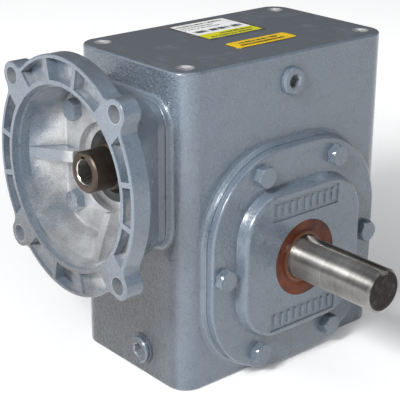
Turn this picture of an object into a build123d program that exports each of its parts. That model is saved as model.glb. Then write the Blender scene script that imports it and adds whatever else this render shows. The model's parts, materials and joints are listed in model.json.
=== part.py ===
from build123d import *

import os
from math import atan, cos, degrees, hypot, pi, radians, sin, tan

# Worm gearbox with a hollow (quill) input for a C-face motor and one solid output shaft.
#
# Frame: millimetres, +Z up. The origin is on the base plane, below the output shaft's axis and
# on the gear's mid-plane. The output shaft leaves along -Y and the motor flange faces -X. The
# worm lies along X, above the wheel.

os.makedirs("parts", exist_ok=True)

# ---------------------------------------------------------------- driving dimensions
INCH = 25.4
SHAFT_H = 3.0625 * INCH         # output axis above the base
CENTRES = 2.625 * INCH          # wheel axis to worm axis
WORM_H = SHAFT_H + CENTRES      # worm axis above the base

HOUSE_L = 178.4                 # along X
HOUSE_W = 108.0                 # along Y
HOUSE_H = 211.0
CORNER_R = 14.3
WALL = 9.6
TAP_DEPTH = 20.0                # screw holes in the top and the base
TOP_INSET = 13.0                # from the top's holes to each face
TOP_TAP_R = 4.0
BASE_INSET = 14.0
BASE_TAP_R = 4.6

COVER_SIDE = 72.8               # from the axis to the side covers' upright edges
COVER_TOP = 75.8                # and to the level ones
COVER_CORNER_R = 58.0
COVER_T = 5.4
BOSS_H = 3.8                    # casting boss under each cover
SHIM_T = 0.4
SIDE_BOLT = 64.0                # bolts level with the axis, from it
OUTER_BOLT = (32.4, 61.4)       # the four others, across and up
OPENING_R = 57.5
NOSE_W = 107.0                  # raised block in the middle of the cover
NOSE_H = 103.0
NOSE_R = 32.0
NOSE_T = 7.8

SHAFT_R = 0.5 * 1.125 * INCH    # output shaft extension
SHAFT_END = 139.0               # its end, from the gear's mid-plane
JOURNAL_R = 14.6                # the shaft under its seal
SEAL_R = 26.0                   # output oil seal, outside
SEAL_T = 8.0
KEY_W = 0.25 * INCH
KEY_DEPTH = 3.7

FACE_X = -137.6                 # motor face
RING_T = 13.0
RIM_SIDE = 69.5                 # the rim's half width
RIM_TOP = 75.5                  # and half height
REGISTER_R = 2.25 * INCH        # motor register
REGISTER_DEPTH = 5.0
MOTOR_CIRCLE_R = 0.5 * 5.875 * INCH
MOTOR_HOLE_R = 0.5 * INCH * 7 / 16
EAR_R = 8.9
PAD_X = -93.2                   # front of the housing's input pad
PAD_W = 87.4
PAD_H = 96.0
PAD_R = 16.0
FLOOR_X = PAD_X - 12.7          # floor of the motor bell
HUB_X = FLOOR_X + 5.0           # floor of the recess round the quill
MOUTH_R = 54.6                  # the bell's inside at its mouth
FLANGE_BOLT_R = 43.0

QUILL_X = -122.4                # end of the hollow input shaft
QUILL_R = 13.25
BORE_R = 0.5 * 0.625 * INCH
BORE_DEPTH = 54.0
BORE_KEY_W = 0.1875 * INCH
BORE_KEY_R = 10.07              # top of the bore's keyway, from the axis

TEETH = 30                      # single-start worm, so this is the ratio too
WORM_PITCH_R = 16.5
WHEEL_PITCH_R = CENTRES - WORM_PITCH_R
MODULE = 2 * WHEEL_PITCH_R / TEETH
LEAD = pi * MODULE
PRESSURE = 20.0
BACKLASH = 0.5                  # play at the pitch line
WORM_LEN = 64.0
WHEEL_W = 24.0

RUN = 0.03                      # radial clearance of a seal lip on its shaft
FIT = 0.05                      # radial clearance of located, bolted pieces

BOLT_AF = 12.7                  # 5/16 in hex bolts
BOLT_HEAD = 5.6
BOLT_R = 3.9


# ---------------------------------------------------------------- helpers
def save(node, shape):
    """Write one node; identical loose pieces are given as a list and share the node."""
    solids = []
    for piece in shape if isinstance(shape, list) else [shape]:
        solids.extend(piece.solids())
    body = solids[0] if len(solids) == 1 else Compound(children=solids)
    export_step(body, f"parts/{node}.step")


def box(x, y, z):
    """Box from three (low, high) pairs."""
    size = [high - low for low, high in (x, y, z)]
    middle = [(high + low) / 2 for low, high in (x, y, z)]
    return Pos(*middle) * Box(*size)


def rod_x(radius, x0, x1, y=0.0, z=WORM_H):
    """Cylinder along X."""
    return Pos((x0 + x1) / 2, y, z) * Rot(0, 90, 0) * Cylinder(radius, abs(x1 - x0))


def rod_y(radius, y0, y1, x=0.0, z=SHAFT_H):
    """Cylinder along Y."""
    return Pos(x, (y0 + y1) / 2, z) * Rot(90, 0, 0) * Cylinder(radius, abs(y1 - y0))


def rod_z(radius, z0, z1, x, y):
    """Cylinder along Z."""
    return Pos(x, y, (z0 + z1) / 2) * Cylinder(radius, abs(z1 - z0))


def outline(points, rounds=()):
    """Closed flat outline; rounds holds ((x, y), radius) for the corners to round."""
    face = Sketch() + make_face(Polyline(*points, close=True))
    for spot, radius in rounds:
        corner = face.vertices().sort_by_distance((spot[0], spot[1], 0))[0]
        face = fillet(corner, radius)
    return face


def turned_x(points, rounds=()):
    """Solid turned about the worm axis from (x, radius) points."""
    plane = Plane(origin=(0, 0, WORM_H), x_dir=(1, 0, 0), z_dir=(0, -1, 0))
    return revolve(plane * outline(points, rounds), Axis((0, 0, WORM_H), (1, 0, 0)))


def turned_y(points, rounds=()):
    """Solid turned about the output axis from (y, radius) points."""
    plane = Plane(origin=(0, 0, SHAFT_H), x_dir=(0, 1, 0), z_dir=(1, 0, 0))
    return revolve(plane * outline(points, rounds), Axis((0, 0, SHAFT_H), (0, 1, 0)))


def ring_points(a0, a1, r0, r1):
    """Section of a plain ring between two axial positions and two radii."""
    return [(a0, r0), (a1, r0), (a1, r1), (a0, r1)]


def flip_y(shape):
    """The same piece on the other side of the gear's mid-plane, turned about Z."""
    return Rot(0, 0, 180) * shape


def cover_spots():
    """Bolt centres of a side cover, as (x, z)."""
    across, up = OUTER_BOLT
    level = [(side * SIDE_BOLT, SHAFT_H) for side in (1, -1)]
    return level + [(sx * across, SHAFT_H + sz * up) for sx in (1, -1) for sz in (1, -1)]


def corner_spots(inset):
    """Screw holes near the corners of the top or the base, as (x, y)."""
    x = HOUSE_L / 2 - inset
    y = HOUSE_W / 2 - inset
    return [(sx * x, sy * y) for sx in (-1, 1) for sy in (-1, 1)]


def round_spots(radius):
    """Four points at 45 degrees about the worm axis, as (y, z)."""
    angles = [radians(45 + 90 * k) for k in range(4)]
    return [(radius * cos(a), WORM_H + radius * sin(a)) for a in angles]


def hex_bolt(length):
    """Hex bolt along +Z: the head's underside at z = 0, the head above it, shank below."""
    head = extrude(RegularPolygon(BOLT_AF / 2, 6, major_radius=False), BOLT_HEAD)
    dome = Pos(0, 0, BOLT_HEAD / 2) * Cone(BOLT_AF * 0.79, BOLT_AF * 0.44, BOLT_HEAD * 1.7)
    shank = Pos(0, 0, -length / 2) * Cylinder(BOLT_R, length)
    tip = shank.edges().sort_by(Axis.Z)[0]
    return (head & dome) + chamfer(tip, 0.8)


# ---------------------------------------------------------------- housing
FACE_Y = HOUSE_W / 2
BOSS_Y = FACE_Y + BOSS_H
COVER_Y = BOSS_Y + SHIM_T       # inner face of a cover's flange
FRONT_Y = COVER_Y + COVER_T     # outer face of a cover's flange
NOSE_Y = FRONT_Y + NOSE_T
CUP_R = 0.5 * 2.328 * INCH      # output bearing, outside
CONE_BORE_R = 0.5 * 1.25 * INCH
CUP_FLOOR = NOSE_Y - 10.8       # bottom of the output bearings' seats
CUP_Y = CUP_FLOOR - 8.2         # output bearings' middle, from the mid-plane

FRONT_BEARING = (PAD_X + 7.3, PAD_X + 23.3)     # worm bearing on the motor side, 30 x 62 x 16
REAR_FACE = HOUSE_L / 2                         # outside of the closed side
REAR_BEARING = (REAR_FACE - 31.3, REAR_FACE - 16.3)     # worm bearing there, 20 x 52 x 15
RING_GROOVE = (REAR_FACE - 5.3, REAR_FACE - 3.7)        # retaining ring outside the end plug
PLUG_R = 9.0                    # 3/8 in pipe plugs
PLUG_OUT = 3.4                  # how far they stand out
FILL_SPOT = (0.0, 192.5)        # x, z on the output face
DRAIN_SPOT = (-12.2, 17.2)      # y, z on the motor side


def front_plane(y, z=SHAFT_H):
    """Sketch plane facing -Y, with its origin on the vertical centre line."""
    return Plane(origin=(0, y, z), x_dir=(1, 0, 0), z_dir=(0, -1, 0))


def cover_outline(grow=0.0):
    """Nearly round cover with four short flats."""
    return RectangleRounded(2 * (COVER_SIDE + grow), 2 * (COVER_TOP + grow), COVER_CORNER_R + grow)


def cover_boss():
    """Boss under the output cover, with a hollow foot made of three sloping bands."""
    boss = extrude(front_plane(-40) * cover_outline(0.2), BOSS_Y - 40)
    boss += extrude(front_plane(-FACE_Y + 2) * cover_outline(BOSS_H), 2)
    for k in range(3):
        band = []
        for angle in (radians(30 * k), radians(30 * (k + 1))):
            plane = front_plane(-FACE_Y - BOSS_H * (1 - cos(angle)))
            band.append(plane * cover_outline(0.2 + BOSS_H * (1 - sin(angle))))
        boss += loft(band, ruled=True)
    return boss & box((-100, 100), (-100, 0), (0, HOUSE_H))


def input_pad():
    """Raised rounded square that carries the motor flange."""
    start = -HOUSE_L / 2 + 20
    plane = Plane(origin=(start, 0, WORM_H), x_dir=(0, 1, 0), z_dir=(-1, 0, 0))
    pad = extrude(plane * RectangleRounded(PAD_W, PAD_H, PAD_R), start - PAD_X)
    return fillet(pad.faces().sort_by(Axis.X)[0].edges(), 0.8)


def pad_root(shell):
    """Edges where the input pad leaves the casting."""
    face, low, high = -HOUSE_L / 2, WORM_H - PAD_H / 2, WORM_H + PAD_H / 2
    near = [edge for edge in shell.edges() if face - 0.1 < edge.center().X < face + 5]
    return [edge for edge in near if low - 0.1 < edge.center().Z < high + 0.1]


def gear_housing():
    """Box casting with bores for the worm, the two covers and the plugs."""
    shell = Pos(0, 0, HOUSE_H / 2) * Box(HOUSE_L, HOUSE_W, HOUSE_H)
    shell = fillet(shell.edges().filter_by(Axis.Z), CORNER_R)
    rims = shell.faces().sort_by(Axis.Z)[-1].edges() + shell.faces().sort_by(Axis.Z)[0].edges()
    shell = fillet(rims, 1.8) + input_pad()
    shell = fillet(pad_root(shell), 3.0)
    shell += cover_boss()
    shell += flip_y(cover_boss())
    inner = box((-HOUSE_L / 2 + WALL, HOUSE_L / 2 - WALL), (-FACE_Y + WALL, FACE_Y - WALL),
                (WALL, HOUSE_H - WALL))
    for x, y in corner_spots(TOP_INSET):
        inner -= rod_z(12.5, 0, HOUSE_H, x, y)
    shell -= inner
    front, rear = FRONT_BEARING, REAR_BEARING
    shell += rod_x(38, -HOUSE_L / 2 + 1, front[1] + 8)
    shell += rod_x(33, rear[0] - 6, REAR_FACE - 1)
    shell -= rod_y(OPENING_R, -70, 70)
    shell -= rod_x(31.0, PAD_X - 5, front[1])
    shell -= rod_x(27.0, front[1] - 1, front[1] + 9)
    shell -= rod_x(26.0, rear[0], REAR_FACE + 5)
    shell -= rod_x(22.0, rear[0] - 8, rear[0] + 1)
    shell -= rod_x(27.6, *RING_GROOVE)
    for x, z in cover_spots():
        shell -= rod_y(BOLT_R + FIT, -BOSS_Y - 1, -FACE_Y + 8.4, x, z)
        shell -= rod_y(BOLT_R + FIT, BOSS_Y + 1, FACE_Y - 8.4, x, z)
    for y, z in round_spots(FLANGE_BOLT_R):
        shell -= rod_x(BOLT_R + FIT, PAD_X - 1, PAD_X + 12, y, z)
    for x, y in corner_spots(TOP_INSET):
        shell -= rod_z(TOP_TAP_R, HOUSE_H + 1, HOUSE_H - TAP_DEPTH, x, y)
        shell -= Pos(x, y, HOUSE_H - 0.7) * Cone(TOP_TAP_R - 0.1, TOP_TAP_R + 1.4, 1.5)
    for x, y in corner_spots(BASE_INSET):
        shell -= rod_z(BASE_TAP_R, -1, TAP_DEPTH, x, y)
        shell -= Pos(x, y, 0.7) * Cone(BASE_TAP_R + 1.4, BASE_TAP_R - 0.1, 1.5)
    shell += rod_x(10.6, -HOUSE_L / 2 - 1.2, -HOUSE_L / 2 + 2, *DRAIN_SPOT)
    shell -= rod_y(PLUG_R + FIT, -FACE_Y - 3, -FACE_Y + 20, *FILL_SPOT)
    shell -= rod_x(PLUG_R + FIT, -HOUSE_L / 2 - 3, -HOUSE_L / 2 + 20, *DRAIN_SPOT)
    return shell


def pipe_plug(thickness, hex_depth):
    """Socket plug along +Z, outer face at z = 0."""
    hex_af = 0.3125 * INCH
    body = Pos(0, 0, -thickness / 2) * Cylinder(PLUG_R, thickness)
    body = chamfer(body.edges().filter_by(GeomType.CIRCLE), 1.0)
    socket = extrude(RegularPolygon(hex_af / 2, 6, major_radius=False), -hex_depth)
    lead_in = Pos(0, 0, -0.4) * Cone(hex_af / 2 + 0.1, hex_af / 2 + 1.1, 0.9)
    return body - socket - lead_in


# ---------------------------------------------------------------- side covers
def cover_blank():
    """Flanged cover on the -Y side, without its centre bore."""
    disc = extrude(front_plane(-COVER_Y) * cover_outline(), COVER_T)
    disc = fillet(disc.faces().sort_by(Axis.Y)[0].edges(), 1.6)
    outline_nose = RectangleRounded(NOSE_W, NOSE_H, NOSE_R)
    nose = extrude(front_plane(-FRONT_Y + 0.5) * outline_nose, NOSE_T + 0.5, taper=18)
    nose = fillet(nose.faces().sort_by(Axis.Y)[0].edges(), 2.6)
    blank = disc + nose
    blank += rod_y(OPENING_R - FIT, -COVER_Y - 1, -COVER_Y + 7)
    return blank + rod_y(37, -COVER_Y, -CUP_Y + 6.5)


def drill_cover(cover):
    """Six bolt holes through a cover's flange."""
    for x, z in cover_spots():
        cover -= rod_y(BOLT_R + 0.3, -FRONT_Y - 2, -COVER_Y + 2, x, z)
    return cover


def name_panel(height):
    """Framed panel with plain upright bars in place of lettering, centred on the nose."""
    width, tall = 59.0, 13.4
    level = (height - tall / 2, height + tall / 2)
    cut = box((-width / 2, width / 2), (-NOSE_Y - 1, -NOSE_Y + 0.9), level)
    bars = []
    count = 9
    for k in range(count):
        x = (k - (count - 1) / 2) * 6.2
        slot = SlotOverall(9.0, 2.6, rotation=90)
        bars.append(extrude(front_plane(-NOSE_Y + 1.0, height) * Pos(x, 0) * slot, 1.0))
    return cut, bars


def output_cover():
    """Cover with the bearing seat and the oil seal's bore."""
    cover = drill_cover(cover_blank())
    cover -= rod_y(CUP_R, -CUP_FLOOR, -40)
    cover -= rod_y(SEAL_R - 3.0, -80, -CUP_FLOOR + 1)
    cover -= rod_y(SEAL_R, -NOSE_Y - 1, -NOSE_Y + SEAL_T + 0.2)
    for height in (SHAFT_H + 37.6, SHAFT_H - 39.0):
        cut, bars = name_panel(height)
        cover -= cut
        for bar in bars:
            cover += bar
    return cover


def rear_cover():
    """Closed cover on the +Y side."""
    cover = drill_cover(cover_blank())
    cover -= rod_y(CUP_R, -CUP_FLOOR, -40)
    return flip_y(cover - rod_y(24.0, -CUP_FLOOR - 3.2, -CUP_FLOOR + 1))


def cover_shim():
    """Thin gasket between the casting and the output cover."""
    shim = extrude(front_plane(-BOSS_Y) * (cover_outline(-0.4) - Circle(OPENING_R + 0.4)), SHIM_T)
    for x, z in cover_spots():
        shim -= rod_y(BOLT_R + 0.3, -70, -50, x, z)
    return shim


def cover_bolts():
    """Six hex bolts of the output cover."""
    bolts = []
    for k, (x, z) in enumerate(cover_spots()):
        turn = 17.0 * k
        bolts.append(Pos(x, -FRONT_Y, z) * Rot(90, 0, 0) * Rot(0, 0, turn) * hex_bolt(17.0))
    return bolts


# ---------------------------------------------------------------- oil seals
def output_seal():
    """Rubber-covered lip seal in the output cover."""
    back = -NOSE_Y + SEAL_T
    lip = JOURNAL_R + RUN
    points = [(-NOSE_Y + 0.4, SEAL_R), (back, SEAL_R), (back, SEAL_R - 2.0),
              (-NOSE_Y + 3.6, SEAL_R - 2.0), (-NOSE_Y + 3.6, lip + 4.4), (back - 1.0, lip + 3.0),
              (back - 1.0, lip + 1.4), (back - 2.4, lip), (back - 3.0, lip),
              (-NOSE_Y + 1.9, lip + 1.6), (-NOSE_Y + 1.3, lip + 0.6), (-NOSE_Y + 0.9, lip + 0.6),
              (-NOSE_Y + 1.1, lip + 3.0), (-NOSE_Y + 0.4, lip + 5.2)]
    return turned_y(points)


def garter_spring():
    """Closed coil spring round the output seal's lip, as a plain ring."""
    centre = Pos(0, -NOSE_Y + SEAL_T - 2.6, SHAFT_H)
    return centre * Rot(90, 0, 0) * Torus(JOURNAL_R + 5.2, 0.7)


def input_seal():
    """Lip seal round the hollow input shaft, in the motor flange's hub."""
    lip = 15.0 + RUN
    section = [(0.2, 23.5), (6.4, 23.5), (6.4, 21.6), (3.0, 21.6), (3.0, lip + 3.6),
               (5.6, lip + 2.6), (5.6, lip + 1.2), (4.4, lip), (3.8, lip),
               (1.4, lip + 1.8), (0.2, lip + 3.0)]
    return turned_x([(HUB_X + along, radius) for along, radius in section])


# ---------------------------------------------------------------- motor flange
def worm_plane(x):
    """Sketch plane across the worm axis, with the sketch's X along Y and its Y along Z."""
    return Plane(origin=(x, 0, WORM_H), x_dir=(0, 1, 0), z_dir=(1, 0, 0))


def near_round(wide, tall):
    """Rounded outline with almost no flats, which lofts cleanly to a rounded square."""
    return RectangleRounded(wide, tall, min(wide, tall) / 2 - 0.05)


def flange_neck():
    """Neck that runs from the rim to the square pad."""
    back = PAD_X - 0.5
    start = worm_plane(FACE_X + RING_T - 3) * near_round(2 * RIM_SIDE - 8, 2 * RIM_TOP - 8)
    end = worm_plane(back - 5) * RectangleRounded(PAD_W - 1.2, PAD_H - 1.2, PAD_R - 0.6)
    return loft([start, end], ruled=True) + extrude(end, 5.0)


def bell_cavity():
    """Inside of the bell: round at its mouth, a rounded square at its floor."""
    shoulder = FACE_X + 11
    mouth = worm_plane(shoulder) * near_round(2 * MOUTH_R, 2 * MOUTH_R)
    floor = worm_plane(FLOOR_X) * RectangleRounded(83.0, 91.0, 20.0)
    cone = loft([mouth, floor], ruled=True)
    cone = fillet(cone.faces().sort_by(Axis.X)[-1].edges(), 2.0)
    front, seat = FACE_X - 1, FACE_X + REGISTER_DEPTH
    return cone + turned_x([(front, 0), (front, REGISTER_R), (seat, REGISTER_R),
                            (seat, MOUTH_R + 0.4), (shoulder + 0.2, MOUTH_R - 0.2),
                            (shoulder + 0.2, 0)])


def ring_pockets():
    """Pockets cast into the motor face, between the register's land and the rim."""
    band = Ellipse(RIM_SIDE - 2.4, RIM_TOP - 2.4) - Circle(REGISTER_R + 2.6)
    cut = extrude(worm_plane(FACE_X - 1) * band, 8.0)
    for k in range(4):
        ear = Rot(45 + 90 * k, 0, 0) * Box(40, 2 * MOTOR_CIRCLE_R + 40, 22)
        cut -= Pos(FACE_X, 0, WORM_H) * ear
        for side in (-1, 1):
            rib = Rot(90 * k + side * 12, 0, 0) * Pos(0, 60, 0) * Box(40, 80, 3.4)
            cut -= Pos(FACE_X, 0, WORM_H) * rib
    return cut


def bell_rib(angle):
    """Pointed rib on the bell's floor, running out to its wall."""
    points = [(FACE_X + 10, 56.5), (FLOOR_X + 1, 47.0), (FLOOR_X + 1, 27.0), (FLOOR_X - 4, 27.0)]
    plane = Plane(origin=(0, 0, WORM_H), x_dir=(1, 0, 0), z_dir=(0, -1, 0))
    plate = extrude(plane * outline(points), 3.6, both=True)
    return Pos(0, 0, WORM_H) * Rot(angle, 0, 0) * Pos(0, 0, -WORM_H) * plate


def eared_ring():
    """Solid disc of the motor face with its four bolt ears blended in."""
    ear = MOTOR_CIRCLE_R * cos(radians(45))
    disc = extrude(worm_plane(FACE_X) * Ellipse(RIM_SIDE, RIM_TOP), RING_T)
    for y, z in round_spots(MOTOR_CIRCLE_R):
        disc += rod_x(EAR_R, FACE_X, FACE_X + RING_T, y, z)
    corners = []
    for edge in disc.edges():
        across, up = abs(edge.center().Y), abs(edge.center().Z - WORM_H)
        upright = abs(edge.length - RING_T) < 0.01
        on_rim = abs(hypot(across / RIM_SIDE, up / RIM_TOP) - 1) < 0.001
        if upright and on_rim and hypot(across - ear, up - ear) < EAR_R + 0.1:
            corners.append(edge)
    disc = fillet(corners, 7.0)
    disc = fillet(disc.faces().sort_by(Axis.X)[0].edges(), 0.7)
    return fillet(disc.faces().sort_by(Axis.X)[-1].edges(), 1.4)


def motor_flange():
    """Bell with the motor face, its register and bolt ears, and the input seal's hub."""
    back = PAD_X - 0.5
    body = eared_ring() + flange_neck() - bell_cavity()
    for angle in (90, -90, 165):
        body += bell_rib(angle)
    body -= ring_pockets()
    body += turned_x(ring_points(back - 0.5, FRONT_BEARING[0] - 0.1, 27.0, 31.0 - FIT))
    body -= rod_x(28.5, FLOOR_X - 30, HUB_X)
    body -= rod_x(23.5, HUB_X - 1, HUB_X + 6.5)
    body -= rod_x(21.0, HUB_X + 6, back + 1)
    for y, z in round_spots(MOTOR_CIRCLE_R):
        body -= rod_x(MOTOR_HOLE_R, FACE_X - 1, FACE_X + RING_T + 4, y, z)
    for y, z in round_spots(FLANGE_BOLT_R):
        body -= rod_x(BOLT_R + 0.3, FLOOR_X - 1, back + 1, y, z)
    return body


def flange_gasket():
    """Gasket between the pad and the motor flange."""
    plane = Plane(origin=(PAD_X, 0, WORM_H), x_dir=(0, 1, 0), z_dir=(-1, 0, 0))
    sheet = extrude(plane * RectangleRounded(PAD_W - 1.8, PAD_H - 1.8, PAD_R - 0.9), 0.5)
    sheet -= rod_x(31.4, PAD_X - 2, PAD_X + 2)
    for y, z in round_spots(FLANGE_BOLT_R):
        sheet -= rod_x(BOLT_R + 0.4, PAD_X - 2, PAD_X + 2, y, z)
    return sheet


def flange_bolts():
    """Four hex bolts inside the bell."""
    bolts = []
    for k, (y, z) in enumerate(round_spots(FLANGE_BOLT_R)):
        turn = 21.0 * k + 8
        bolts.append(Pos(FLOOR_X, y, z) * Rot(0, -90, 0) * Rot(0, 0, turn) * hex_bolt(23.5))
    return bolts


# ---------------------------------------------------------------- worm and wheel
def thread_section():
    """Cross-section of the single-start worm, thread centred on local +X."""
    tip, root = WORM_PITCH_R + MODULE, WORM_PITCH_R - 1.2 * MODULE
    half_pitch_line = (LEAD / 2 - BACKLASH) / 2

    def flank(radius, side):
        half = half_pitch_line - (radius - WORM_PITCH_R) * tan(radians(PRESSURE))
        angle = side * 2 * pi * half / LEAD
        return radius * cos(angle), radius * sin(angle)

    steps = 8
    radii = [root + (tip - root) * k / steps for k in range(steps + 1)]
    up = Spline([flank(r, -1) for r in radii])
    down = Spline([flank(r, 1) for r in reversed(radii)])
    crest = ThreePointArc(flank(tip, -1), (tip, 0), flank(tip, 1))
    floor = ThreePointArc(flank(root, 1), (-root, 0), flank(root, -1))
    return make_face([up, crest, down, floor])


def twisted(face, axis, length, turn):
    """Extrude a face along axis while turning it, right-handed, by turn degrees."""
    path = axis.direction * length
    solid = Solid.extrude_linear_with_rotation(face.face(), axis.position, path, turn)
    if solid.volume > 0:
        return solid
    return Solid.extrude_linear_with_rotation(-face.face(), axis.position, path, turn)


def worm_shaft():
    """Hollow input shaft and worm in one piece."""
    start = -WORM_LEN / 2
    phase = -90.0 + 360.0 * start / LEAD
    plane = Plane(origin=(start, 0, WORM_H), x_dir=(0, 1, 0), z_dir=(1, 0, 0))
    face = plane * (Rot(0, 0, phase) * thread_section())
    thread = twisted(face, Axis((start, 0, WORM_H), (1, 0, 0)), WORM_LEN, 360.0 * WORM_LEN / LEAD)
    core = 12.3
    end = -start
    outer, inner = FRONT_BEARING
    near, far = REAR_BEARING
    left = turned_x([(QUILL_X, 0), (QUILL_X, QUILL_R - 1), (QUILL_X + 1, QUILL_R),
                     (HUB_X - 5, QUILL_R), (HUB_X - 4, 15), (outer - 1.7, 15),
                     (outer - 1.7, 14.2), (outer - 0.1, 14.2), (outer - 0.1, 15), (inner, 15),
                     (inner, 18), (inner + 5, 18), (inner + 7, core), (start, core), (start, 0)])
    right = turned_x([(end, 0), (end, core), (near - 6, core), (near - 5, 13.5), (near, 13.5),
                      (near, 10), (far + 0.1, 10), (far + 0.1, 9.3), (far + 1.5, 9.3),
                      (far + 1.5, 10), (far + 2.3, 10), (far + 3, 9.3), (far + 3, 0)])
    left -= rod_x(BORE_R, QUILL_X - 1, QUILL_X + BORE_DEPTH)
    left -= box((QUILL_X - 1, QUILL_X + 50), (-BORE_KEY_W / 2, BORE_KEY_W / 2),
                (WORM_H, WORM_H + BORE_KEY_R))
    left -= Pos(QUILL_X + 0.3, 0, WORM_H) * Rot(0, 90, 0) * Cone(BORE_R + 1.2, BORE_R - 0.1, 1.4)
    return Part() + thread + left + right


def wheel_section():
    """Transverse section of the wheel's toothed rim, a gap centred on local +X."""
    tip, root = WHEEL_PITCH_R + MODULE, WHEEL_PITCH_R - 1.2 * MODULE
    base = WHEEL_PITCH_R * cos(radians(PRESSURE))
    half_tooth = ((LEAD / 2 - BACKLASH) / 2) / WHEEL_PITCH_R

    def involute(radius):
        pressure = atan((max(radius, base) ** 2 / base ** 2 - 1) ** 0.5)
        return tan(pressure) - pressure

    def half_angle(radius):
        return half_tooth + involute(WHEEL_PITCH_R) - involute(radius)

    def at(radius, angle):
        return radius * cos(angle), radius * sin(angle)

    steps = 4
    radii = [base + (tip - base) * k / steps for k in range(steps + 1)]
    lines = []
    pitch = 2 * pi / TEETH
    for k in range(TEETH):
        middle = (k + 0.5) * pitch
        foot = half_angle(base)
        lines.append(Line(at(root, middle - foot), at(base, middle - foot)))
        lines.append(Spline([at(r, middle - half_angle(r)) for r in radii]))
        top = half_angle(tip)
        lines.append(ThreePointArc(at(tip, middle - top), at(tip, middle), at(tip, middle + top)))
        lines.append(Spline([at(r, middle + half_angle(r)) for r in reversed(radii)]))
        lines.append(Line(at(base, middle + foot), at(root, middle + foot)))
        gap = middle + pitch / 2
        next_foot = gap + pitch / 2 - foot
        lines.append(ThreePointArc(at(root, middle + foot), at(root, gap), at(root, next_foot)))
    return make_face(lines)


RIM_IN = 38.0                   # bronze rim, inside
HUB_BORE = 18.0


def wheel_rim():
    """Bronze rim with thirty helical teeth."""
    start = -WHEEL_W / 2
    turn = degrees(LEAD / (2 * pi * WORM_PITCH_R) / WHEEL_PITCH_R)
    plane = Plane(origin=(0, start, SHAFT_H), x_dir=(0, 0, 1), z_dir=(0, 1, 0))
    face = plane * (Rot(0, 0, turn * start) * wheel_section())
    rim = twisted(face, Axis((0, start, SHAFT_H), (0, 1, 0)), WHEEL_W, turn * WHEEL_W)
    rim = Part() + rim
    return rim - rod_y(RIM_IN, -WHEEL_W, WHEEL_W)


def wheel_hub():
    """Iron hub that carries the bronze rim."""
    points = [(-20, HUB_BORE), (20, HUB_BORE), (20, 25), (7, 27), (7, 34), (12, 35), (12, RIM_IN),
              (-12, RIM_IN), (-12, 35), (-7, 34), (-7, 27), (-20, 25)]
    hub = turned_y(points)
    for k in range(6):
        angle = radians(60 * k)
        hub -= rod_y(3.2, -20, 20, 30.5 * cos(angle), SHAFT_H + 30.5 * sin(angle))
    return hub - box((-4, 4), (-21, 21), (SHAFT_H, SHAFT_H + HUB_BORE + 3.3))


def wheel_key():
    """Key between the output shaft and the wheel's hub."""
    low = SHAFT_H + HUB_BORE - 4.0
    return box((-4, 4), (-16, 16), (low, low + 7.0))


def output_shaft():
    """Solid output shaft with its keyway at the top."""
    seat = CUP_Y - 8.0
    step = CUP_FLOOR + 1.2
    rear = CUP_FLOOR + 0.2
    journal = NOSE_Y + 1.0
    points = [(-SHAFT_END, 0), (-SHAFT_END, SHAFT_R - 1.6), (-SHAFT_END + 1.6, SHAFT_R),
              (-journal, SHAFT_R), (-journal, JOURNAL_R), (-step, JOURNAL_R),
              (1 - step, CONE_BORE_R), (-seat, CONE_BORE_R), (-seat, 21),
              (-20, 21), (-20, HUB_BORE), (20, HUB_BORE), (20, CONE_BORE_R),
              (rear - 1, CONE_BORE_R), (rear, CONE_BORE_R - 1), (rear, 0)]
    shaft = turned_y(points)
    floor = SHAFT_H + SHAFT_R - KEY_DEPTH
    shaft -= box((-KEY_W / 2, KEY_W / 2), (-SHAFT_END - 1, -SHAFT_END + 56), (floor, floor + 10))
    runout = 28.0
    shaft -= Pos(0, -SHAFT_END + 56, floor + runout) * Rot(0, 90, 0) * Cylinder(runout, KEY_W)
    low = SHAFT_H + HUB_BORE - 4.0
    return shaft - box((-4, 4), (-16, 16), (low, low + 10.0))


def spacer():
    """Sleeve between the hub and the rear bearing."""
    return turned_y(ring_points(20, CUP_Y - 8.0, CONE_BORE_R, 21))


# ---------------------------------------------------------------- bearings
def ball_set(x0, x1, pitch_r, ball_r, count):
    """Balls of a worm bearing."""
    middle = (x0 + x1) / 2
    balls = []
    for k in range(count):
        angle = 2 * pi * (k + 0.5) / count
        balls.append(Pos(middle, pitch_r * cos(angle), WORM_H + pitch_r * sin(angle)) * Sphere(ball_r))
    return balls


def ball_bearing(name, x0, x1, bore_r, out_r, ball_r, count):
    """Deep-groove bearing on the worm: two races, balls and a cage."""
    middle, pitch_r = (x0 + x1) / 2, (bore_r + out_r) / 2
    groove = Pos(middle, 0, WORM_H) * Rot(0, 90, 0) * Torus(pitch_r, ball_r + 0.06)
    shoulder = 0.52 * ball_r
    save(f"{name}_inner_race", turned_x(ring_points(x0, x1, bore_r, pitch_r - shoulder)) - groove)
    save(f"{name}_outer_race", turned_x(ring_points(x0, x1, pitch_r + shoulder, out_r)) - groove)
    save(f"{name}_balls", ball_set(x0, x1, pitch_r, ball_r, count))
    half = ball_r + 1.3
    cage = turned_x(ring_points(middle - half, middle + half, pitch_r - 1.2, pitch_r + 1.2))
    pocket = Pos(0, pitch_r, 0) * Rot(90, 0, 0) * Cylinder(ball_r + 0.1, 8)
    for k in range(count):
        cage -= Pos(middle, 0, WORM_H) * Rot(360.0 * (k + 0.5) / count, 0, 0) * pocket
    save(f"{name}_cage", cage)


ROLLER_R = 3.1
ROLLER_PITCH_R = 22.6
ROLLER_ANGLE = 12.0
ROLLERS = 16


def race_radius(along, side, clearance):
    """Radius of the cone (side -1) or cup (+1) raceway; all lines meet in one apex."""
    apex = ROLLER_PITCH_R / tan(radians(ROLLER_ANGLE))
    half = degrees(atan(ROLLER_R * cos(radians(ROLLER_ANGLE)) / apex))
    return tan(radians(ROLLER_ANGLE + side * half)) * (apex + along) + side * clearance


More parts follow.
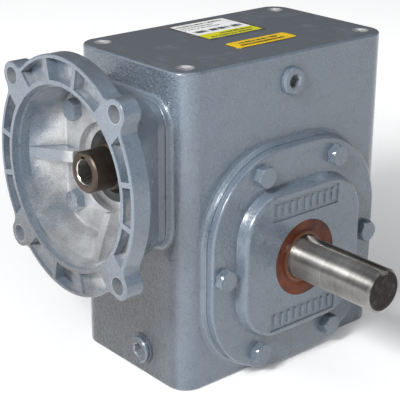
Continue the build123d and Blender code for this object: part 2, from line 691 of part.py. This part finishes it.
def roller_set(extra):
    """Tapered rollers in a ring about +Z, the bearing's middle at the origin."""
    length = 11.0 + 2 * extra
    apex = ROLLER_PITCH_R / sin(radians(ROLLER_ANGLE))
    grow = ROLLER_R / apex
    low, high = ROLLER_R - grow * length / 2 + extra, ROLLER_R + grow * length / 2 + extra
    one = Rot(0, ROLLER_ANGLE, 0) * Cone(low, high, length)
    return [Rot(0, 0, 360.0 * k / ROLLERS) * Pos(ROLLER_PITCH_R, 0, 0) * one for k in range(ROLLERS)]


def taper_bearing(name, place):
    """Tapered roller bearing, built about +Z with its wide side at +Z, then placed."""
    axis = Axis((0, 0, 0), (0, 0, 1))

    def spun(points):
        return revolve(Plane.XZ * outline(points), axis)

    play, end = 0.05, 7.9
    cup = spun([(race_radius(-6, 1, play), -6), (CUP_R, -6), (CUP_R, end),
                (race_radius(end, 1, play), end)])
    small, rib = race_radius(-6.4, -1, play), race_radius(6.4, -1, play)
    cone = spun([(CONE_BORE_R, -end), (small + 0.7, -end), (small + 0.7, -6.4), (small, -6.4),
                 (rib, 6.4), (rib + 2.0, 6.4), (rib + 2.0, end), (CONE_BORE_R, end)])
    slope = tan(radians(ROLLER_ANGLE))
    cage = spun([(ROLLER_PITCH_R + slope * -7 - 0.7, -7), (ROLLER_PITCH_R + slope * 7 - 0.7, 7),
                 (ROLLER_PITCH_R + slope * 7 + 0.7, 7), (ROLLER_PITCH_R + slope * -7 + 0.7, -7)])
    for pocket in roller_set(0.15):
        cage -= pocket
    save(f"{name}_cup", place * cup)
    save(f"{name}_cone", place * cone)
    save(f"{name}_rollers", [place * roller for roller in roller_set(0.0)])
    save(f"{name}_cage", place * cage)


# ---------------------------------------------------------------- small pieces
def snap_ring(x0, x1, r0, r1, gap_at):
    """Open retaining ring on the worm axis; gap_at is the gap's angle about X."""
    ring = turned_x(ring_points(x0, x1, r0, r1))
    gap = Rot(gap_at, 0, 0) * Pos(0, (r0 + r1) / 2, 0) * Box(8, 2 * (r1 - r0) + 4, 5.0)
    return ring - Pos((x0 + x1) / 2, 0, WORM_H) * gap


def worm_end_plug():
    """Cupped steel plug that closes the worm bore on the +X side."""
    outside = 26.0 - FIT
    rim = RING_GROOVE[0]
    return turned_x([(rim - 4.8, 0), (rim - 4.8, 23), (rim, 23), (rim, outside),
                     (rim - 7, outside), (rim - 7, 0)])


def label(x, y, round_r):
    """Thin printed label on the housing's top."""
    width, depth = x[1] - x[0], y[1] - y[0]
    shape = RectangleRounded(width, depth, round_r)
    return Pos((x[0] + x[1]) / 2, (y[0] + y[1]) / 2, HOUSE_H) * extrude(shape, 0.25)


# ---------------------------------------------------------------- write every node
save("gear_housing", gear_housing())
save("output_cover", output_cover())
save("output_cover_shim", cover_shim())
save("output_cover_bolts", cover_bolts())
save("output_oil_seal", output_seal())
save("output_seal_spring", garter_spring())
save("rear_cover", rear_cover())
save("rear_cover_shim", flip_y(cover_shim()))
save("rear_cover_bolts", [flip_y(bolt) for bolt in cover_bolts()])
save("motor_flange", motor_flange())
save("motor_flange_gasket", flange_gasket())
save("motor_flange_bolts", flange_bolts())
save("input_oil_seal", input_seal())
save("worm_end_plug", worm_end_plug())
save("worm_end_ring", snap_ring(RING_GROOVE[0] + 0.1, RING_GROOVE[1] - 0.1, 23.0, 27.5, 90))
fill_place = Pos(FILL_SPOT[0], -FACE_Y - PLUG_OUT, FILL_SPOT[1]) * Rot(90, 0, 0)
save("fill_plug", fill_place * pipe_plug(12.0, 6.5))
drain_place = Pos(-HOUSE_L / 2 - PLUG_OUT, *DRAIN_SPOT) * Rot(0, -90, 0)
save("drain_plug", drain_place * pipe_plug(12.0, 6.5))
save("rating_label", label((-20.6, 30.0), (1.2, 46.0), 0.8))
save("notice_label", label((-21.4, 31.6), (-27.8, -12.6), 5.0))
save("output_shaft", output_shaft())
save("wheel_rim", wheel_rim())
save("wheel_hub", wheel_hub())
save("wheel_key", wheel_key())
save("wheel_spacer", spacer())
save("worm_shaft", worm_shaft())
save("worm_front_ring", snap_ring(FRONT_BEARING[0] - 1.6, FRONT_BEARING[0] - 0.2, 14.3, 17.6, 90))
save("worm_rear_ring", snap_ring(REAR_BEARING[1] + 0.2, REAR_BEARING[1] + 1.4, 9.4, 12.2, 90))
ball_bearing("worm_front_bearing", *FRONT_BEARING, 15.0, 31.0, 4.76, 9)
ball_bearing("worm_rear_bearing", *REAR_BEARING, 10.0, 26.0, 4.76, 7)
taper_bearing("output_bearing", Pos(0, -CUP_Y, SHAFT_H) * Rot(90, 0, 0) * Rot(180, 0, 0))
taper_bearing("shaft_rear_bearing", Pos(0, CUP_Y, SHAFT_H) * Rot(90, 0, 0))
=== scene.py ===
import json
from math import cos, radians, sin

import bpy
from mathutils import Matrix, Vector


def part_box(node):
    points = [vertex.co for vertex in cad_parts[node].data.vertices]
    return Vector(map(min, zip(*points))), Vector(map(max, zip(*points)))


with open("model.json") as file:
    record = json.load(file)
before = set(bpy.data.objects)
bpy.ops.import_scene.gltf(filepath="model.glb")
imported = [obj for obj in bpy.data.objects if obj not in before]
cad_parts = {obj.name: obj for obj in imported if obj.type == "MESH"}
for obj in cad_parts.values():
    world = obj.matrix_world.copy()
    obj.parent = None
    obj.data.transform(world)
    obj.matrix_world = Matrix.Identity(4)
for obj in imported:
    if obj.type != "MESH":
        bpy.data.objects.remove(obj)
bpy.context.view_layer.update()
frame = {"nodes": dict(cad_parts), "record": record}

# ------------------------------------------------------------------ places, in metres
MM = 0.001
MOUNTS = {mount["name"]: mount for mount in frame["record"]["mounts"]}
SHAFT_H = MOUNTS["output_shaft"]["pos_m"][2]
FACE_X, WORM_H = MOUNTS["motor_bolts"]["pos_m"][0], MOUNTS["motor_bolts"]["pos_m"][2]
EAR_CIRCLE = MOUNTS["motor_bolts"]["dims"]["pcd_mm"] / 2 * MM
TOP_Z = MOUNTS["top_screws"]["pos_m"][2]
TAP_X = MOUNTS["top_screws"]["dims"]["spacing_x_mm"] / 2 * MM
TAP_Y = MOUNTS["top_screws"]["dims"]["spacing_y_mm"] / 2 * MM
SHAFT_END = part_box("output_shaft")[0].y
MOTOR_WALL = -82 * MM  # beyond this X lies the housing's wall under the motor flange
RIM_SQUAT = 69.5 / 75.5  # half width of the flange's oval rim over its half height
BELL_FLOOR = -105 * MM
SEAL_R = 30 * MM  # recess of the input seal in the bell's floor
EAR_HOLE_R = 6 * MM
POCKET_IN, POCKET_OUT, POCKET_DEPTH = 59.4 * MM, 67.6 * MM, 7.1 * MM
RIB_HALF = 3.9 * MM


# ------------------------------------------------------------------ shader kit
def plug(tree, item, socket):
    """Feed a socket from a signal, or set it to a number or colour."""
    if isinstance(item, Signal):
        tree.links.new(item.socket, socket)
    elif socket.type == "RGBA" and len(item) == 3:
        socket.default_value = (*item, 1.0)
    else:
        socket.default_value = item


class Signal:
    """What one node output says at each point of a surface."""

    def __init__(self, tree, socket):
        self.tree = tree
        self.socket = socket

    def calc(self, operation, *others):
        node = self.tree.nodes.new("ShaderNodeMath")
        node.operation = operation
        for item, socket in zip((self, *others), node.inputs):
            plug(self.tree, item, socket)
        return Signal(self.tree, node.outputs[0])

    def __add__(self, other):
        return self.calc("ADD", other)

    def __sub__(self, other):
        return self.calc("SUBTRACT", other)

    def __mul__(self, other):
        return self.calc("MULTIPLY", other)

    def size(self):
        return self.calc("ABSOLUTE")

    def most(self, other):
        return self.calc("MAXIMUM", other)

    def flipped(self):
        """One minus this signal."""
        return (self * -1.0) + 1.0

    def rise(self, low, high):
        """0 below low, 1 above high, smooth between; low may be the larger for a fall."""
        node = self.tree.nodes.new("ShaderNodeMapRange")
        node.interpolation_type = "SMOOTHSTEP"
        down = low > high
        plug(self.tree, self, node.inputs["Value"])
        node.inputs["From Min"].default_value = high if down else low
        node.inputs["From Max"].default_value = low if down else high
        node.inputs["To Min"].default_value = 1.0 if down else 0.0
        node.inputs["To Max"].default_value = 0.0 if down else 1.0
        return Signal(self.tree, node.outputs["Result"])


class Surface:
    """A material with its Principled shader, and the object's own coordinates in metres."""

    def __init__(self, name):
        self.material = bpy.data.materials.new(name)
        self.material.use_nodes = True
        self.tree = self.material.node_tree
        self.shader = next(n for n in self.tree.nodes if n.type == "BSDF_PRINCIPLED")
        where = self.tree.nodes.new("ShaderNodeTexCoord")
        self.place = Signal(self.tree, where.outputs["Object"])
        parts = self.tree.nodes.new("ShaderNodeSeparateXYZ")
        plug(self.tree, self.place, parts.inputs[0])
        self.x, self.y, self.z = (Signal(self.tree, parts.outputs[k]) for k in range(3))

    def facing(self):
        """The surface's own direction, as three signals."""
        geometry = self.tree.nodes.new("ShaderNodeNewGeometry")
        parts = self.tree.nodes.new("ShaderNodeSeparateXYZ")
        self.tree.links.new(geometry.outputs["Normal"], parts.inputs[0])
        return [Signal(self.tree, parts.outputs[k]) for k in range(3)]

    def vector(self, x, y, z):
        node = self.tree.nodes.new("ShaderNodeCombineXYZ")
        for item, socket in zip((x, y, z), node.inputs):
            plug(self.tree, item, socket)
        return Signal(self.tree, node.outputs[0])

    def noise(self, scale, detail=2.0, rough=0.5, place=None, warp=0.0):
        node = self.tree.nodes.new("ShaderNodeTexNoise")
        plug(self.tree, place or self.place, node.inputs["Vector"])
        node.inputs["Scale"].default_value = scale
        node.inputs["Detail"].default_value = detail
        node.inputs["Roughness"].default_value = rough
        node.inputs["Distortion"].default_value = warp
        return Signal(self.tree, node.outputs[0])

    def ramp(self, signal, *stops):
        """Colours along a signal; each stop is (place, colour)."""
        node = self.tree.nodes.new("ShaderNodeValToRGB")
        plug(self.tree, signal, node.inputs[0])
        marks = node.color_ramp.elements
        while len(marks) < len(stops):
            marks.new(0.5)
        for mark, (place, colour) in zip(marks, stops):
            mark.position = place
            mark.color = (*colour, 1.0)
        return Signal(self.tree, node.outputs["Color"])

    def mix(self, share, low, high):
        """Colour low where share is 0 and high where it is 1."""
        node = self.tree.nodes.new("ShaderNodeMix")
        node.data_type = "RGBA"
        plug(self.tree, share, node.inputs[0])
        plug(self.tree, low, node.inputs[6])
        plug(self.tree, high, node.inputs[7])
        return Signal(self.tree, node.outputs[2])

    def blend(self, share, low, high):
        """Number low where share is 0 and high where it is 1."""
        node = self.tree.nodes.new("ShaderNodeMix")
        plug(self.tree, share, node.inputs[0])
        plug(self.tree, low, node.inputs[2])
        plug(self.tree, high, node.inputs[3])
        return Signal(self.tree, node.outputs[0])

    def bump(self, *layers):
        """Relief from (height signal, depth in millimetres) layers."""
        normal = None
        for height, depth in layers:
            node = self.tree.nodes.new("ShaderNodeBump")
            node.inputs["Distance"].default_value = depth * MM
            plug(self.tree, height, node.inputs["Height"])
            if normal:
                plug(self.tree, normal, node.inputs["Normal"])
            normal = Signal(self.tree, node.outputs[0])
        plug(self.tree, normal, self.shader.inputs["Normal"])

    def set(self, **values):
        """Set shader inputs by name, with underscores for spaces."""
        for name, item in values.items():
            plug(self.tree, item, self.shader.inputs[name.replace("_", " ")])
        return self

    def fed(self, name):
        """The signal that already feeds a shader input."""
        return Signal(self.tree, self.shader.inputs[name].links[0].from_socket)

    def around_x(self, y=0.0, z=0.0):
        """Distance from a line along X."""
        return ((self.y - y).calc("POWER", 2.0) + (self.z - z).calc("POWER", 2.0)).calc("SQRT")

    def around_y(self, x=0.0, z=0.0):
        """Distance from a line along Y."""
        return ((self.x - x).calc("POWER", 2.0) + (self.z - z).calc("POWER", 2.0)).calc("SQRT")

    def around_taps(self):
        """Distance from the nearest of the four screw holes in the top or the base."""
        dx = (self.x.size() - TAP_X).calc("POWER", 2.0)
        dy = (self.y.size() - TAP_Y).calc("POWER", 2.0)
        return (dx + dy).calc("SQRT")

    def around_ears(self):
        """Distance from the nearest of the four bolt holes of the motor face."""
        half = EAR_CIRCLE / 2 ** 0.5
        dy = (self.y.size() - half).calc("POWER", 2.0)
        dz = ((self.z - WORM_H).size() - half).calc("POWER", 2.0)
        return (dy + dz).calc("SQRT")


def clothe(material, *nodes):
    """Give CAD nodes or pieces a material."""
    for name in nodes:
        piece = frame["nodes"][name] if isinstance(name, str) else name
        if not piece.material_slots:
            piece.data.materials.append(material)
        for slot in piece.material_slots:
            slot.material = material


# ------------------------------------------------------------------ enamel
PAINT = (0.115, 0.146, 0.184)
PAINT_DARK = (0.078, 0.102, 0.132)
PAINT_LIGHT = (0.160, 0.197, 0.241)
# darker tone of the top face
DARK_TOP = (0.052, 0.060, 0.074)
# dark soiled tone, also the painted shade of the flange on the motor side
SOIL_AND_SHADE = (0.021, 0.021, 0.025)
BARE = (0.41, 0.415, 0.425)
BARE_DARK = (0.25, 0.252, 0.256)


def enamel(surface, peel=1.0):
    """Colour, gloss and relief of sprayed grey-blue enamel over rough iron.

    The motor side is the roughest and darkest, in a soiled tone that also paints the flange's shadow
    on it, and the top face is darker and rougher in broad patches.
    """
    mottle = surface.noise(90, 4, 0.6)
    grain = surface.noise(1000, 2, 0.6)
    tone = mottle * 0.25 + grain * 0.75
    colour = surface.ramp(tone, (0.25, PAINT_DARK), (0.50, PAINT), (0.75, PAINT_LIGHT))
    east, _, up = surface.facing()
    motor_side = east.rise(-0.80, -0.97) * surface.x.rise(MOTOR_WALL, MOTOR_WALL - 4 * MM)
    # soiled tone that also paints the flange's shadow on the motor side: darker low down, away from
    # the front corner, in specks
    near_base = surface.z.rise(140 * MM, 90 * MM) * 0.8 + 0.2
    off_corner = surface.y.rise(-54 * MM, -18 * MM) * 0.6 + 0.4
    specks = surface.noise(700, 4, 0.75).rise(0.32, 0.60) * 0.55 + 0.45
    colour = surface.mix(motor_side * near_base * off_corner * specks, colour, SOIL_AND_SHADE)
    # darker, rougher tone over most of the top face, in broad patches
    dark_top = up.rise(0.75, 0.98) * surface.noise(55, 5, 0.65).rise(0.20, 0.50)
    dark_top = dark_top * surface.z.rise(TOP_Z - 6 * MM, TOP_Z - 3 * MM)
    colour = surface.mix(dark_top * 0.70, colour, DARK_TOP)
    rough = surface.blend(dark_top, mottle * 0.26 + 0.17, mottle * 0.20 + 0.42)
    peeled = surface.noise(440, 2, 0.5)
    pitted = surface.noise(1000, 2, 0.6)
    coarse = motor_side * (1.6 * peel) + peel
    pits = motor_side * (3.6 * peel) + peel
    return colour, rough, [(peeled * coarse, 0.44), (pitted * pits, 0.20)]


def bare_metal(surface):
    """Colour, gloss and relief of bare die-cast metal."""
    tone = surface.noise(60, 4, 0.6) * 0.5 + surface.noise(1500, 2, 0.6) * 0.5
    colour = surface.ramp(tone, (0.34, BARE_DARK), (0.50, BARE), (0.66, (0.60, 0.605, 0.615)))
    return colour, surface.noise(240, 3) * 0.25 + 0.34, (surface.noise(1300, 3, 0.7), 0.10)


def painted(name, peel=1.0, bare=None):
    """Painted casting or fastener; bare(surface) says where the metal shows, from 0 to 1."""
    surface = Surface(name)
    colour, rough, relief = enamel(surface, peel)
    if bare:
        share = bare(surface)
        metal, metal_rough, metal_relief = bare_metal(surface)
        colour = surface.mix(share, colour, metal)
        rough = surface.blend(share, rough, metal_rough)
        surface.set(Metallic=share * 0.6)
        relief = relief + [metal_relief]
    surface.set(Base_Color=colour, Roughness=rough, Coat_Weight=1.0, Coat_Roughness=0.22)
    surface.bump(*relief)
    return surface.material


def housing_bare(surface):
    """Bare rims and threads of the screw holes in the top and the base."""
    ragged = surface.noise(900, 3) * 0.6 * MM
    ring = (surface.around_taps() + ragged).rise(6.3 * MM, 5.6 * MM)
    end = (surface.z - TOP_Z / 2).size().rise(TOP_Z / 2 - 24 * MM, TOP_Z / 2 - 21 * MM)
    return ring * end


def flange_bare(surface):
    """Bare floor and far walls of the bell, bolt holes and some pockets of the motor flange."""
    radius = surface.around_x(z=WORM_H)
    spray = (surface.noise(38, 4, 0.6) - 0.5) * 18 * MM + (surface.noise(900, 2) - 0.5) * 6 * MM
    height = surface.z - WORM_H
    sprayed = radius + spray + surface.y * 0.24 + height * 0.06
    _, side, up = surface.facing()
    inward = (surface.y * side + height * up).rise(20 * MM, 12 * MM)
    behind = surface.x.rise(BELL_FLOOR + 0.5 * MM, BELL_FLOOR - 0.2 * MM)
    behind = behind.most(radius.rise(SEAL_R, SEAL_R - 1 * MM))
    deep = surface.x.rise(FACE_X + 2 * MM, FACE_X + 7 * MM)
    rib = height.size().rise(RIB_HALF + 0.7 * MM, RIB_HALF) * surface.y.rise(30 * MM, 36 * MM)
    bell = sprayed.rise(67 * MM, 58 * MM) * inward * behind * deep * (rib * 0.85).flipped()
    holes = surface.around_ears().rise(EAR_HOLE_R + 0.2 * MM, EAR_HOLE_R - 0.2 * MM) * 0.4
    depth = surface.x - FACE_X
    sunk = depth.rise(1.0 * MM, 2.5 * MM) * depth.rise(POCKET_DEPTH + 0.5 * MM, POCKET_DEPTH)
    squat = height * RIM_SQUAT
    oval = (surface.y.calc("POWER", 2.0) + squat.calc("POWER", 2.0)).calc("SQRT")
    between = (radius.rise(POCKET_IN, POCKET_IN + 0.4 * MM)
               * oval.rise(POCKET_OUT, POCKET_OUT - 0.4 * MM))
    pockets = sunk * between * surface.noise(30, 3).rise(0.46, 0.58)
    return bell.most(holes).most(pockets * 0.6)


def plug_bare(place, along_x):
    """Bare hex socket of a pipe plug on a line along X or Y."""
    def bare(surface):
        radius = surface.around_x(*place) if along_x else surface.around_y(*place)
        ragged = surface.noise(1400, 2) * 0.8 * MM
        return (radius + ragged).rise(5.4 * MM, 4.4 * MM) * 0.35
    return bare


def middle_of(node):
    low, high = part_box(node)
    return (low + high) / 2


fill, drain = middle_of("fill_plug"), middle_of("drain_plug")
clothe(painted("painted_housing", 1.0, housing_bare), "gear_housing")
clothe(painted("painted_covers", 1.0), "output_cover", "rear_cover")
clothe(painted("painted_flange", 0.45, flange_bare), "motor_flange")
clothe(painted("painted_bolts", 0.3), "output_cover_bolts", "rear_cover_bolts",
       "motor_flange_bolts")
clothe(painted("painted_fill_plug", 0.3, plug_bare((fill.x, fill.z), False)), "fill_plug")
clothe(painted("painted_drain_plug", 0.3, plug_bare((drain.y, drain.z), True)), "drain_plug")


# ------------------------------------------------------------------ bare steel, bronze, iron
def turned(name, colours, rough, axis, marks=2600.0):
    """Metal turned or ground about an axis: fine rings, streaks along the lay, small stains."""
    surface = Surface(name)
    radius = surface.around_y(z=SHAFT_H) if axis == "y" else surface.around_x(z=WORM_H)
    along = surface.y if axis == "y" else surface.x
    rings = surface.noise(1.0, 3, 0.7, surface.vector(along * marks, radius * 900.0, 0.0))
    stain = surface.noise(34, 5, 0.65)
    colour = surface.ramp(rings * 0.5 + stain * 0.5, (0.34, colours[0]), (0.50, colours[1]),
                          (0.66, colours[2]))
    surface.set(Base_Color=colour, Metallic=1.0)
    surface.set(Roughness=(rings - 0.5) * 0.16 + (stain - 0.5) * 0.20 + rough)
    surface.bump((rings, 0.012), (surface.noise(2400, 2), 0.006))
    return surface, radius, along


def shaft_material():
    """Ground output shaft with a very dark, mottled end face."""
    colours = ((0.16, 0.152, 0.142), (0.33, 0.322, 0.31), (0.54, 0.53, 0.515))
    surface, radius, along = turned("shaft_steel", colours, 0.44, "y")
    surface.set(Anisotropic=0.85, Tangent=surface.vector(0.0, 1.0, 0.0))
    end = along.rise(SHAFT_END + 0.5 * MM, SHAFT_END + 0.2 * MM)
    inner = radius.rise(13.4 * MM, 12.4 * MM) * end
    # very dark, mottled tone over the end face inside its chamfer
    end_mottle = surface.noise(180, 5, 0.7)
    dark_end = surface.ramp(end_mottle, (0.35, (0.034, 0.027, 0.026)), (0.55, (0.065, 0.053, 0.052)),
                        (0.72, (0.13, 0.115, 0.11)))
    surface.set(Base_Color=surface.mix(inner, surface.fed("Base Color"), dark_end))
    surface.set(Roughness=surface.blend(inner, surface.fed("Roughness"), end_mottle * 0.2 + 0.42))
    return surface.material


def worm_material():
    """Dark oiled steel with a bright reamed bore."""
    colours = ((0.040, 0.031, 0.025), (0.085, 0.066, 0.053), (0.17, 0.14, 0.115))
    surface, radius, along = turned("worm_steel", colours, 0.46, "x", 1700.0)
    bore = radius.rise(8.35 * MM, 8.15 * MM) * along.rise(-60 * MM, -64 * MM)
    surface.set(Base_Color=surface.mix(bore, surface.fed("Base Color"), (0.80, 0.79, 0.77)))
    rough = surface.fed("Roughness")
    surface.set(Roughness=surface.blend(bore, rough, rough * 0.55))
    return surface.material


def plain_steel(name, colours, rough, scale=220.0, metallic=1.0):
    """Small steel, bronze or iron parts away from a turning axis."""
    surface = Surface(name)
    tone = surface.noise(scale, 4, 0.6) * 0.6 + surface.noise(scale * 9, 2) * 0.4
    surface.set(Base_Color=surface.ramp(tone, (0.36, colours[0]), (0.64, colours[1])))
    surface.set(Metallic=metallic, Roughness=(tone - 0.5) * 0.3 + rough)
    surface.bump((surface.noise(scale * 6, 3), 0.02))
    return surface.material


clothe(shaft_material(), "output_shaft")
clothe(worm_material(), "worm_shaft")
RACES = ["output_bearing_cone", "output_bearing_cup", "shaft_rear_bearing_cone",
         "shaft_rear_bearing_cup"]
WORM_RACES = [f"worm_{end}_bearing_{race}_race" for end in ("front", "rear")
              for race in ("inner", "outer")]
bright = ((0.42, 0.41, 0.40), (0.58, 0.57, 0.56), (0.70, 0.69, 0.68))
clothe(turned("race_steel", bright, 0.20, "y")[0].material, *RACES)
clothe(turned("worm_race_steel", bright, 0.20, "x")[0].material, *WORM_RACES)
clothe(plain_steel("roller_steel", ((0.50, 0.49, 0.48), (0.68, 0.67, 0.66)), 0.12),
       "output_bearing_rollers", "shaft_rear_bearing_rollers", "worm_front_bearing_balls",
       "worm_rear_bearing_balls")
clothe(plain_steel("cage_steel", ((0.34, 0.32, 0.29), (0.50, 0.48, 0.45)), 0.42, 160),
       "output_bearing_cage", "shaft_rear_bearing_cage", "worm_front_bearing_cage",
       "worm_rear_bearing_cage")
clothe(plain_steel("oiled_steel", ((0.14, 0.115, 0.095), (0.28, 0.245, 0.21)), 0.34),
       "wheel_key", "wheel_spacer", "output_seal_spring")
clothe(plain_steel("phosphated_steel", ((0.050, 0.050, 0.054), (0.13, 0.13, 0.135)), 0.48, 300),
       "worm_front_ring", "worm_rear_ring", "worm_end_ring")
clothe(turned("cut_bronze", ((0.46, 0.29, 0.12), (0.62, 0.41, 0.19), (0.74, 0.53, 0.28)), 0.30,
              "y", 1400.0)[0].material, "wheel_rim")
clothe(plain_steel("hub_iron", ((0.085, 0.085, 0.09), (0.19, 0.19, 0.195)), 0.58, 140, 0.6),
       "wheel_hub")


def end_plug_material():
    """Pressed steel cup, painted over with a thin coat that leaves its rim bright."""
    surface = Surface("end_plug_paint")
    colour, rough, relief = enamel(surface, 0.35)
    worn = (surface.around_x(z=WORM_H) + surface.noise(300, 3) * 1.2 * MM).rise(23.6 * MM, 25.2 * MM)
    surface.set(Base_Color=surface.mix(worn * 0.7, colour, BARE), Metallic=worn * 0.7,
                Roughness=rough, Coat_Weight=0.15, Coat_Roughness=0.25)
    surface.bump(*relief)
    return surface.material


clothe(end_plug_material(), "worm_end_plug")


# ------------------------------------------------------------------ seals, gaskets, labels
def seal_material(name, dark, light, lip_highlight, axis_signal, lip):
    """Moulded rubber with a wet sheen, and a paler ring where it meets the shaft as a painted
    highlight on the lip.
    """
    surface = Surface(name)
    radius = axis_signal(surface)
    swirl = surface.noise(90, 5, 0.6, warp=0.6)
    colour = surface.ramp(swirl, (0.34, dark), (0.68, light))
    # painted highlight: a paler ring on the lip next to the shaft
    ring = radius.rise(lip + 3.4 * MM, lip + 1.6 * MM)
    surface.set(Base_Color=surface.mix(ring * 0.55, colour, lip_highlight))
    surface.set(Roughness=swirl * 0.30 + 0.26, Coat_Weight=0.08, Coat_Roughness=0.10,
                Specular_IOR_Level=0.25)
    surface.bump((surface.noise(420, 3), 0.12), (surface.noise(1600, 2), 0.02))
    return surface.material


# the third colour of each seal is its painted lip highlight
clothe(seal_material("brown_rubber", (0.052, 0.010, 0.003), (0.155, 0.035, 0.010),
                     (0.20, 0.10, 0.055), lambda s: s.around_y(z=SHAFT_H), 14.3 * MM),
       "output_oil_seal")
clothe(seal_material("black_rubber", (0.012, 0.012, 0.013), (0.045, 0.044, 0.043),
                     (0.10, 0.095, 0.09), lambda s: s.around_x(z=WORM_H), 15.0 * MM),
       "input_oil_seal")


def gasket_material():
    """Pressed fibre, oil-dark in patches."""
    surface = Surface("gasket_fibre")
    fibres = surface.noise(1.0, 4, 0.7, surface.vector(surface.x * 900, surface.y * 900,
                                                       surface.z * 200))
    tone = fibres * 0.6 + surface.noise(50, 3) * 0.4
    surface.set(Base_Color=surface.ramp(tone, (0.34, (0.06, 0.055, 0.05)),
                                        (0.66, (0.17, 0.155, 0.13))))
    surface.set(Roughness=tone * 0.3 + 0.55)
    surface.bump((fibres, 0.05))
    return surface.material


clothe(gasket_material(), "output_cover_shim", "rear_cover_shim", "motor_flange_gasket")


def in_box(along, across, left, right, low, high, soft=0.12 * MM):
    """1 inside a rectangle on two signals, with a soft edge."""
    return (along.rise(left - soft, left + soft) * along.rise(right + soft, right - soft)
            * across.rise(low - soft, low + soft) * across.rise(high + soft, high - soft))


def dashes(surface, along, across, spot, count, pitch, tall, seed):
    """A row of short printed dashes of uneven length, with nothing to read in it."""
    left, low = spot
    row = in_box(along, across, left, left + count * pitch, low, low + tall)
    beat = surface.noise(1.0, 0, 0.5, surface.vector((along - left) * (1.35 / pitch), seed, 0.0))
    return row * beat.rise(0.38, 0.42)


def label_material(node, ground, bands, rows, border):
    """Printed film: ground colour, colour bands, dark dashes and a dark border line."""
    low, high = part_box(node)
    surface = Surface(node + "_print")
    across, along = surface.y - low.y, surface.x - low.x
    width, depth = high.x - low.x, high.y - low.y
    faded = surface.noise(130, 4, 0.6)
    colour = surface.ramp(faded, (0.3, tuple(0.88 * c for c in ground)), (0.62, ground))
    for left, right, bottom, top, tint in bands:
        share = in_box(along, across, left * width, right * width, bottom * depth, top * depth)
        colour = surface.mix(share, colour, tint)
    ink = None
    for k, (left, bottom, count, pitch, tall) in enumerate(rows):
        spot = (left * width, bottom * depth)
        row = dashes(surface, along, across, spot, count, pitch * MM, tall * MM, 3.7 * k + 1.3)
        ink = row if ink is None else ink.most(row)
    inside = in_box(along, across, border * MM, width - border * MM, border * MM,
                    depth - border * MM)
    ink = ink.most(inside.flipped())
    colour = surface.mix(ink * (faded * 0.3 + 0.78), colour, (0.022, 0.022, 0.024))
    surface.set(Base_Color=colour, Roughness=faded * 0.18 + 0.40, Specular_IOR_Level=0.25)
    surface.bump((surface.noise(240, 2), 0.05))
    return surface.material


clothe(label_material(
    "rating_label", (0.88, 0.88, 0.88),
    [(0.03, 0.97, 0.04, 0.31, (0.62, 0.60, 0.010))],
    [(0.07, 0.83, 40, 1.0, 2.4), (0.07, 0.73, 26, 1.1, 1.6), (0.07, 0.63, 34, 0.9, 1.6),
     (0.10, 0.40, 30, 1.4, 5.2), (0.34, 0.19, 22, 1.3, 2.4), (0.12, 0.09, 28, 1.3, 2.2)], 1.9),
    "rating_label")
clothe(label_material(
    "notice_label", (0.80, 0.53, 0.010), [],
    [(0.16, 0.56, 34, 1.0, 3.0), (0.12, 0.24, 38, 1.0, 3.0)], 0.5), "notice_label")


# ------------------------------------------------------------------ stage, light, camera
def floor():
    """Wide pale floor, with a faint glow that grows away from the gearbox."""
    half, drop = 6.0, -0.0002
    mesh = bpy.data.meshes.new("floor")
    corners = [(-half, -half, drop), (half, -half, drop), (half, half, drop), (-half, half, drop)]
    mesh.from_pydata(corners, [], [(0, 1, 2, 3)])
    piece = bpy.data.objects.new("floor", mesh)
    bpy.context.scene.collection.objects.link(piece)
    surface = Surface("floor_white")
    tone = surface.noise(3.0, 3)
    far = (surface.x.calc("POWER", 2.0) + surface.y.calc("POWER", 2.0)).calc("SQRT")
    surface.set(Base_Color=surface.ramp(tone, (0.3, (0.86, 0.86, 0.865)), (0.7, (0.90, 0.90, 0.90))),
                Roughness=0.65, Emission_Color=(1.0, 1.0, 1.0),
                Emission_Strength=far.rise(0.12, 0.75) * 0.50 + 0.14)
    clothe(surface.material, piece)


def softbox(name, toward, distance, size, power):
    """Area light seen from the gearbox's middle in direction toward."""
    middle = Vector((-0.02, -0.02, 0.10))
    lamp = bpy.data.lights.new(name, "AREA")
    lamp.shape = "RECTANGLE"
    lamp.size, lamp.size_y = size
    lamp.energy = power
    piece = bpy.data.objects.new(name, lamp)
    place = middle + Vector(toward).normalized() * distance
    piece.matrix_world = Matrix.Translation(place) @ (
        (place - middle).to_track_quat("Z", "Y").to_matrix().to_4x4())
    bpy.context.scene.collection.objects.link(piece)


def studio():
    """Soft grey light from all round."""
    world = bpy.data.worlds.new("studio")
    world.use_nodes = True
    back = world.node_tree.nodes["Background"]
    back.inputs["Color"].default_value = (0.93, 0.96, 1.0, 1.0)
    back.inputs["Strength"].default_value = 0.19
    bpy.context.scene.world = world


def camera():
    """Camera from the motor side, above and to the left of the output shaft."""
    yaw, pitch, roll = radians(49.324), radians(-21.242), radians(0.298)
    forward = Vector((cos(yaw) * cos(pitch), sin(yaw) * cos(pitch), sin(pitch)))
    right = Vector((sin(yaw), -cos(yaw), 0.0))
    up = right.cross(forward)
    side = right * cos(roll) + up * sin(roll)
    top = up * cos(roll) - right * sin(roll)
    data = bpy.data.cameras.new("camera")
    data.sensor_width = 36.0
    data.lens = 2.98675 * data.sensor_width
    data.clip_end = 50.0
    piece = bpy.data.objects.new("camera", data)
    turn = Matrix((side, top, -forward)).transposed().to_4x4()
    piece.matrix_world = Matrix.Translation((-0.5152, -0.5659, SHAFT_H + 0.3156)) @ turn
    bpy.context.scene.collection.objects.link(piece)
    bpy.context.scene.camera = piece


floor()
studio()
softbox("left", (-0.68, 0.52, 0.46), 1.4, (1.0, 1.5), 3.0)
softbox("high", (-0.74, -0.24, 0.58), 1.1, (0.26, 0.26), 13.5)
softbox("front", (-0.74, -0.66, 0.42), 0.75, (0.30, 0.45), 0.8)
softbox("overhead", (0.0, -0.3, 1.0), 1.4, (0.9, 0.9), 3.6)
camera()
bpy.context.scene.view_settings.view_transform = "Standard"
